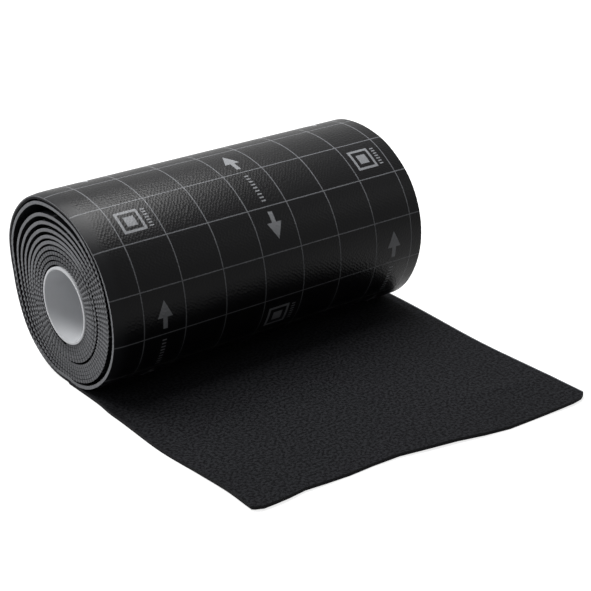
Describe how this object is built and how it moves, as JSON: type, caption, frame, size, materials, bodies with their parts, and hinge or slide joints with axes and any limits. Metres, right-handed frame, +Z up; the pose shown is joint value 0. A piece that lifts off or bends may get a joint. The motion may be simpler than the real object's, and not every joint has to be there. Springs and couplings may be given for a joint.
{
  "type": "roll of lead-free flashing",
  "caption": "Roll of black roof flashing strip wound on a grey core tube, lying on its side with its free end rolled out flat.",
  "frame": {"origin": "on the axis of the core tube's bore, halfway across the roll's width", "axes": "+X along the core tube towards the far end, +Z up, the free end lies towards -Y"},
  "size_m": [0.4, 0.4591, 0.1974],
  "materials": {
    "flashing": "embossed film with a pale grid on the outer face, fine matt grain on the inner face",
    "core": "smooth light grey board"
  },
  "bodies": {
    "root": {"flashing_strip": "flashing", "core_tube": "core"}
  },
  "joints": []
}
